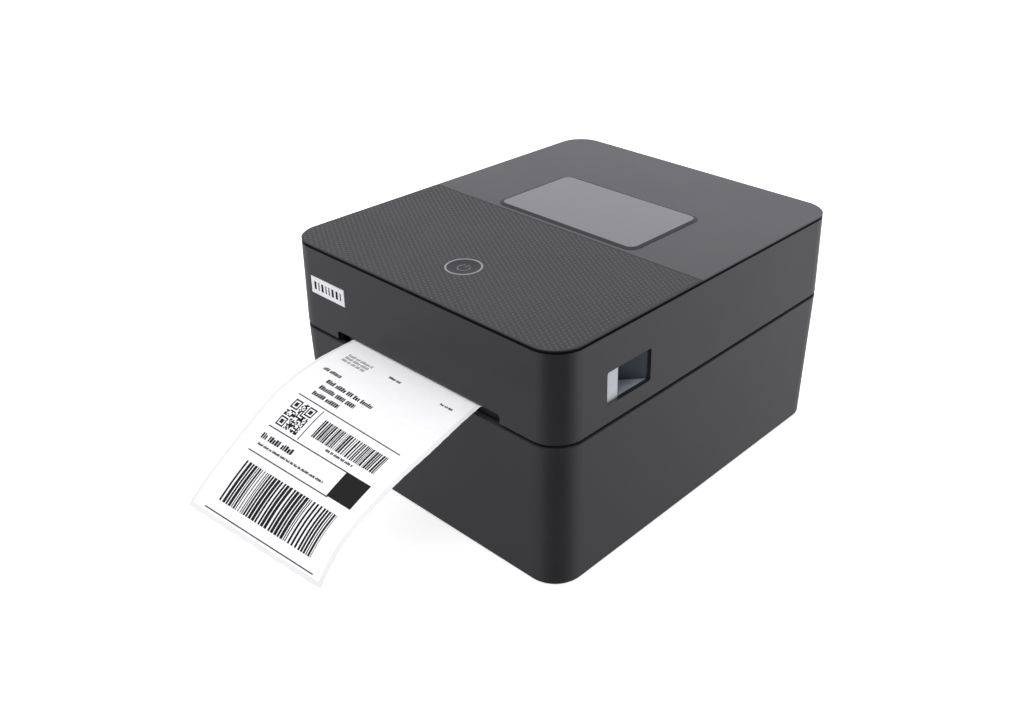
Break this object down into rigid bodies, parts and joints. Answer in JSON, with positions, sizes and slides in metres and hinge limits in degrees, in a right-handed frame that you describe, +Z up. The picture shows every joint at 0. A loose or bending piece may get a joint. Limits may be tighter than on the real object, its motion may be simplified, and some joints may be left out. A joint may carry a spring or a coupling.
{
  "type": "thermal label printer",
  "caption": "Desktop thermal label printer: drafted two-part case with hinged cover, roll bay, platen drive, sprung print head and a printed label hanging from its front slot.",
  "frame": {"origin": "under the middle of the case, on the plane that the printer stands on", "axes": "+X to the printer's right seen from its front, +Y from the label slot towards the hinge at the rear, +Z up"},
  "size_m": [0.21, 0.3676, 0.1429],
  "materials": {
    "case_plastic": "fine moulded satin",
    "panel_plastic": "fine diagonal moulded texture",
    "lid_plastic": "smooth satin",
    "window_plastic": "smoky, lightly diffusing",
    "ring_plastic": "clear satin",
    "button_plastic": "satin",
    "badge_white": "satin",
    "latch_grey": "satin",
    "inner_plastic": "moulded",
    "gear_plastic": "moulded",
    "steel": "rolled sheet",
    "shaft_steel": "ground",
    "motor_steel": "painted",
    "bush_plastic": "moulded",
    "aluminium": "extruded",
    "head_ceramic": "glazed",
    "rubber": "matte",
    "paper": "coated",
    "core_card": "wound board",
    "board_green": "solder mask",
    "chip_black": "moulded",
    "spring_steel": "drawn wire"
  },
  "bodies": {
    "base": {"base_shell": "case_plastic", "bottom_plate": "case_plastic", "rubber_feet": "rubber", "case_screws": "shaft_steel", "hinge_pins": "shaft_steel", "media_frame": "inner_plastic", "pinion_stud": "shaft_steel", "front_deck": "inner_plastic", "gear_hood": "inner_plastic", "side_plate_left": "steel", "side_plate_right": "steel", "platen_bushes": "bush_plastic", "idler_stud": "shaft_steel", "feed_motor": "motor_steel", "sensor_rail": "inner_plastic", "latch_catches": "inner_plastic", "label_web": "paper", "printed_label": "paper", "main_board": "board_green", "board_parts": "chip_black", "power_inlet": "chip_black", "data_port": "shaft_steel", "switch_housing": "chip_black"},
    "platen": {"platen_shaft": "shaft_steel", "platen_rubber": "rubber", "platen_gear": "gear_plastic"},
    "idler": {"idler_gear": "gear_plastic"},
    "motor_rotor": {"motor_shaft": "shaft_steel", "motor_pinion": "shaft_steel"},
    "roll": {"label_roll": "paper", "roll_core": "core_card"},
    "guide_left": {"roll_guide_left": "inner_plastic"},
    "guide_right": {"roll_guide_right": "inner_plastic"},
    "pinion": {"guide_pinion": "gear_plastic"},
    "sensor": {"gap_sensor": "chip_black"},
    "rocker": {"power_rocker": "chip_black"},
    "cover": {"cover_shell": "case_plastic", "top_panel_front": "panel_plastic", "top_panel_rear": "lid_plastic", "window_pane": "window_plastic", "light_ring": "ring_plastic", "badge_plate": "badge_white", "cover_frame": "inner_plastic", "cover_screws": "shaft_steel", "tear_bar": "steel", "head_bracket": "steel", "head_pin": "shaft_steel", "head_springs": "spring_steel", "button_board": "board_green", "button_spring": "spring_steel"},
    "button": {"feed_button": "button_plastic"},
    "print_head": {"thermal_head": "head_ceramic", "heat_sink": "aluminium"},
    "latch_r": {"latch_right": "latch_grey"},
    "latch_l": {"latch_left": "latch_grey"}
  },
  "joints": [
    {"name": "cover_hinge", "type": "hinge", "parent": "base", "child": "cover", "pos_m": [0, 0.13, 0.0883], "axis": [-1, 0, 0], "range_deg": [0, 92]},
    {"name": "feed_button", "type": "slide", "parent": "cover", "child": "button", "axis": [0, 0, -1], "range_m": [0, 0.0007], "stiffness_N_per_m": 900, "springref_m": -0.0006, "deforming": ["button_spring"]},
    {"name": "latch_pull_right", "type": "slide", "parent": "cover", "child": "latch_r", "axis": [0, -1, 0], "range_m": [0, 0.005], "stiffness_N_per_m": 400, "springref_m": -0.004},
    {"name": "latch_pull_left", "type": "slide", "parent": "cover", "child": "latch_l", "axis": [0, -1, 0], "range_m": [0, 0.005], "stiffness_N_per_m": 400, "springref_m": -0.004},
    {"name": "head_tilt", "type": "hinge", "parent": "cover", "child": "print_head", "pos_m": [0, -0.082, 0.105], "axis": [-1, 0, 0], "range_deg": [0, 3], "stiffness_Nm_per_rad": 1.2, "springref_deg": -8.59, "deforming": ["head_springs"]},
    {"name": "platen_spin", "type": "hinge", "parent": "base", "child": "platen", "pos_m": [0, -0.104, 0.0849], "axis": [1, 0, 0], "continuous": true},
    {"name": "idler_spin", "type": "hinge", "parent": "base", "child": "idler", "pos_m": [0.074, -0.09605, 0.0692], "axis": [1, 0, 0], "continuous": true},
    {"name": "motor_spin", "type": "hinge", "parent": "base", "child": "motor_rotor", "pos_m": [0.076, -0.096, 0.05], "axis": [1, 0, 0], "continuous": true},
    {"name": "roll_spin", "type": "hinge", "parent": "base", "child": "roll", "pos_m": [0, 0.025, 0.068], "axis": [1, 0, 0], "continuous": true},
    {"name": "roll_guide_left_slide", "type": "slide", "parent": "base", "child": "guide_left", "axis": [-1, 0, 0], "range_m": [0, 0.006], "stiffness_N_per_m": 150, "springref_m": -0.01},
    {"name": "roll_guide_right_slide", "type": "slide", "parent": "base", "child": "guide_right", "axis": [1, 0, 0], "range_m": [0, 0.006]},
    {"name": "guide_pinion_spin", "type": "hinge", "parent": "base", "child": "pinion", "pos_m": [0, 0.025, 0.0097], "axis": [0, 0, -1], "range_deg": [0, 54]},
    {"name": "gap_sensor_slide", "type": "slide", "parent": "base", "child": "sensor", "axis": [1, 0, 0], "range_m": [-0.045, 0.045]},
    {"name": "power_rocker_tilt", "type": "hinge", "parent": "base", "child": "rocker", "pos_m": [0.082, 0.124, 0.058], "axis": [1, 0, 0], "range_deg": [-14, 0]}
  ],
  "couplings": [
    {"joint": "idler_spin", "follows": "platen_spin", "ratio": -2.1429},
    {"joint": "motor_spin", "follows": "platen_spin", "ratio": 6.4286},
    {"joint": "roll_spin", "follows": "platen_spin", "ratio": 0.16667},
    {"joint": "roll_guide_right_slide", "follows": "roll_guide_left_slide", "ratio": 1},
    {"joint": "guide_pinion_spin", "follows": "roll_guide_left_slide", "rad_per_m": 156.25}
  ]
}
